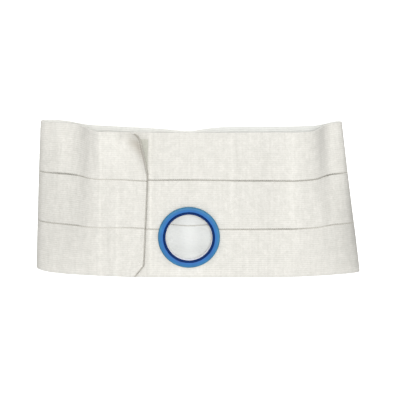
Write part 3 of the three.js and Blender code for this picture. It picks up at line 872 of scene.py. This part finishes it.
def blueVinyl(tree):
    radius = add(tree, "ShaderNodeAttribute", attribute_name="fromAxis")
    place = add(tree, "ShaderNodeTexCoord").outputs["Object"]
    clouds = add(tree, "ShaderNodeTexNoise", {"Scale": 1000 / blueVinylLook["patchSize"], "Detail": 2.0},
                 {"Vector": place})
    fromMiddle = add(tree, "ShaderNodeMath", {1: 0.5}, {0: clouds}, operation="SUBTRACT")
    wandering = add(tree, "ShaderNodeMath", {1: blueVinylLook["wander"]},
                    {0: fromMiddle, 2: radius.outputs["Fac"]}, operation="MULTIPLY_ADD")
    share = add(tree, "ShaderNodeMapRange",
                {"From Min": blueVinylLook["shadedAt"], "From Max": blueVinylLook["rimAt"]},
                {"Value": wandering})
    tone = add(tree, "ShaderNodeValToRGB", None, {"Fac": share})
    stops = tone.color_ramp.elements
    for stop, position, code in zip(stops, (0.0, 1.0), ("shaded", "rim")):
        stop.position, stop.color = position, srgb(blueVinylLook[code])
    for position, code in ((0.14, "inner"), (0.5, "face")):
        stops.new(position).color = srgb(blueVinylLook[code])
    cloudShare = add(tree, "ShaderNodeMapRange",
                     {"From Min": 0.3, "From Max": 0.7, "To Min": blueVinylLook["darkest"],
                      "To Max": blueVinylLook["brightest"]}, {"Value": clouds})
    varied = add(tree, "ShaderNodeVectorMath", None, {0: tone, "Scale": cloudShare}, operation="SCALE")
    grain = add(tree, "ShaderNodeTexNoise", {"Scale": 1400.0, "Detail": 2.0}, {"Vector": place})
    bump = add(tree, "ShaderNodeBump", {"Strength": 0.25, "Distance": 0.0001}, {"Height": grain})
    return add(tree, "ShaderNodeBsdfPrincipled",
               {"Roughness": blueVinylLook["roughness"], "Specular IOR Level": blueVinylLook["gloss"]},
               {"Base Color": varied, "Normal": bump})


# The sleeve is the same vinyl in navy at its lip, nearly black in shadow, and the bore behind the lip is
# lined with white vinyl, which lights up along the bottom of the opening.
navyVinylLook = dict(shadow="#042250", light="#082c66", lining="#f4f6ff", lipDepth=2.0, liningReach=0.3,
                     roughness=0.5, gloss=0.08)


def navyVinyl(tree):
    place = add(tree, "ShaderNodeTexCoord")
    grain = add(tree, "ShaderNodeTexNoise", {"Scale": 1200.0, "Detail": 2.0},
                {"Vector": place.outputs["Object"]})
    tone = add(tree, "ShaderNodeValToRGB", None, {"Fac": grain})
    for stop, position, code in zip(tone.color_ramp.elements, (0.3, 0.7), ("shadow", "light")):
        stop.position, stop.color = position, srgb(navyVinylLook[code])
    radius = add(tree, "ShaderNodeAttribute", attribute_name="fromAxis")
    out = add(tree, "ShaderNodeAttribute", attribute_name="fromCloth")
    lipLine = rimFront - navyVinylLook["lipDepth"]
    deep = add(tree, "ShaderNodeMapRange", {"From Min": lipLine + 0.15, "From Max": lipLine - 0.15},
               {"Value": out.outputs["Fac"]})
    onBore = add(tree, "ShaderNodeMath", {1: ring["openingRadius"] + navyVinylLook["liningReach"]},
                 {0: radius.outputs["Fac"]}, operation="LESS_THAN")
    lined = add(tree, "ShaderNodeMath", None, {0: deep, 1: onBore}, operation="MULTIPLY")
    colour = add(tree, "ShaderNodeMix", {7: srgb(navyVinylLook["lining"])},
                 {"Factor": lined, 6: tone}, data_type="RGBA")
    bump = add(tree, "ShaderNodeBump", {"Strength": 0.2, "Distance": 0.0001}, {"Height": grain})
    return add(tree, "ShaderNodeBsdfPrincipled",
               {"Roughness": navyVinylLook["roughness"], "Specular IOR Level": navyVinylLook["gloss"]},
               {"Base Color": colour.outputs[2], "Normal": bump})


for name, paint, pieces in (
        ("woven elastic webbing", wovenElasticWebbing, bandPieces),
        ("overlocked seam", overlockedSeam, seamCores),
        ("polyester sewing thread", sewingThread, seamThreads + [topStitching]),
        ("polyester binding thread with painted edge shade", bindingThread, [flapBinding, endBinding]),
        ("nylon hook tape", hookTape, [hookPiece]),
        ("moulded blue vinyl", blueVinyl, [flangePiece]),
        ("moulded navy vinyl, white bore", navyVinyl, [sleevePiece])):
    material = newMaterial(name, paint)
    for piece in pieces:
        piece.data.materials.append(material)
print("materials set")

# what each piece rides on, and the parts of model.glb that the pieces stand in for, which are hidden
sewnPieces = bandPieces + seamCores + seamThreads + [flapBinding, endBinding, topStitching]
for piece in sewnPieces + [hookPiece, flangePiece, sleevePiece]:
    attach(piece, "root")
for piece, node in zip(bandPieces, ["band_lower", "band_middle", "band_upper"]):
    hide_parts(node)
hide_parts("hook_strip")
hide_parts("ring_flange")
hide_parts("ring_sleeve")

stageLook = dict(
    floor="#fdfdfc", floorReach=6.0, even=0.66, open=0.72,
    lights=[        # name, place, aim, width in metres, watts, what it lights
        ("front softbox", (0.3, -7.0, 2.1), (0.0, 0.0, 0.1), 1.6, 270.0, "all"),
        ("back softbox", (-1.0, 6.8, 2.9), (0.0, 0.0, 0.1), 1.6, 250.0, "all"),
        ("floor light", (0.0, 0.3, 3.6), (0.0, 0.3, 0.0), 6.0, 120.0, "floor"),
    ],
)


def paperFloor(tree):
    return add(tree, "ShaderNodeBsdfDiffuse", {"Color": srgb(stageLook["floor"])})


def makeFloor():
    reach = stageLook["floorReach"]
    points = [(-reach, -reach, 0), (reach, -reach, 0), (reach, reach, 0), (-reach, reach, 0)]
    mesh = bpy.data.meshes.new("floor")
    mesh.from_pydata(points, [], [(0, 1, 2, 3)])
    made = bpy.data.objects.new("floor", mesh)
    bpy.context.collection.objects.link(made)
    mesh.materials.append(newMaterial("pale paper floor", paperFloor))
    made.visible_diffuse = False        # the paper throws no light back up onto the belt
    made.visible_glossy = False
    return made


def makeLight(name, place, aim, size, power, lit):
    data = bpy.data.lights.new(name, "AREA")
    data.shape = "DISK"
    data.size = size
    data.energy = power
    made = bpy.data.objects.new(name, data)
    made.location = place
    made.rotation_euler = (Vector(aim) - Vector(place)).to_track_quat("-Z", "Y").to_euler()
    bpy.context.collection.objects.link(made)
    if lit == "floor":      # keeps the paper white without reaching the belt
        made.light_linking.receiver_collection = floorOnly


def makeWorld():
    # white all round, falling off towards both sides as between two black cards: even + open * (1 - |x|)^2
    world = bpy.data.worlds.new("studio")
    world.use_nodes = True
    tree = world.node_tree
    tree.nodes.clear()
    direction = add(tree, "ShaderNodeTexCoord")
    axes = add(tree, "ShaderNodeSeparateXYZ", None, {0: direction.outputs["Generated"]})
    sideways = add(tree, "ShaderNodeMath", None, {0: axes.outputs["X"]}, operation="ABSOLUTE")
    inward = add(tree, "ShaderNodeMath", {0: 1.0}, {1: sideways}, operation="SUBTRACT")
    squared = add(tree, "ShaderNodeMath", {1: 2.0}, {0: inward}, operation="POWER")
    strength = add(tree, "ShaderNodeMath", {1: stageLook["open"], 2: stageLook["even"]},
                   {0: squared}, operation="MULTIPLY_ADD")
    sky = add(tree, "ShaderNodeBackground", {"Color": (1, 1, 1, 1)}, {"Strength": strength})
    add(tree, "ShaderNodeOutputWorld", None, {"Surface": sky})
    bpy.context.scene.world = world


floor = makeFloor()
floorOnly = bpy.data.collections.new("floor only")
floorOnly.objects.link(floor)
makeWorld()
for settings in stageLook["lights"]:
    makeLight(*settings)
bpy.context.scene.view_settings.view_transform = "Standard"
print("floor and light set")
